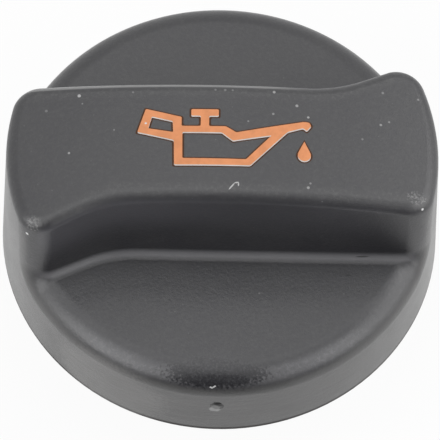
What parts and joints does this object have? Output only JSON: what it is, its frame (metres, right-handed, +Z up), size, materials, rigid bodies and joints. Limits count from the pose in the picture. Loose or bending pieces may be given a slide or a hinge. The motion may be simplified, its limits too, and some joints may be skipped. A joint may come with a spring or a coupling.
{
  "type": "oil filler cap",
  "caption": "Round black plastic cap with an arched, flared grip bar across its top and a ramped bayonet stem with a sealing ring below, closing an engine's oil filler neck.",
  "frame": {"origin": "on the turning axis, at the end of the stem that the cap stands on", "axes": "+Z up along the turning axis, out of the filler neck; X along the grip bar; -Y towards the side with the moulding gate's mark"},
  "size_m": [0.065, 0.065, 0.0446],
  "materials": {
    "cap_plastic": "fine moulded texture, satin",
    "insert_plastic": "plain moulded, satin",
    "seal_rubber": "dull moulded rubber"
  },
  "bodies": {
    "root": {"grip_cap": "cap_plastic", "bayonet_insert": "insert_plastic", "sealing_ring": "seal_rubber"}
  },
  "joints": []
}
